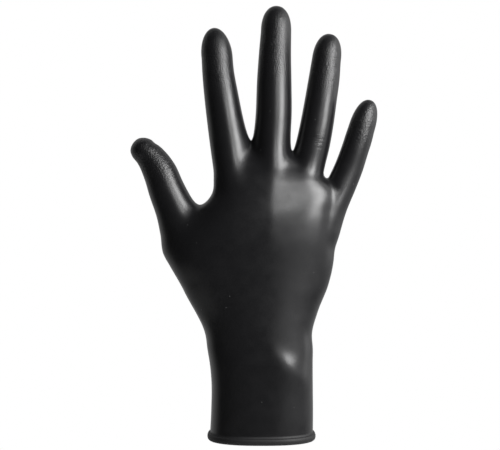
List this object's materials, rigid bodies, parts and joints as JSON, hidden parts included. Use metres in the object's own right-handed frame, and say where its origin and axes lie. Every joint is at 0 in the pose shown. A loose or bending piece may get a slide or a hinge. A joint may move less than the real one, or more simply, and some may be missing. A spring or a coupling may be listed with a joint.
{
  "type": "nitrile exam glove",
  "caption": "Disposable exam glove of thin nitrile film, shaped as worn on a right hand, with grip texture on the digits' ends and an open cuff with a rolled rim.",
  "frame": {"origin": "middle of the cuff's mouth, level with the underside of the rolled rim", "axes": "+Z from the mouth to the fingertips, -Y out of the back of the hand, -X towards the thumb"},
  "size_m": [0.137, 0.045, 0.2402],
  "materials": {
    "nitrile": "satin black film, smooth on the palm and cuff, with a fine grip texture on the digits' ends"
  },
  "bodies": {
    "root": {"glove": "nitrile"}
  },
  "joints": []
}
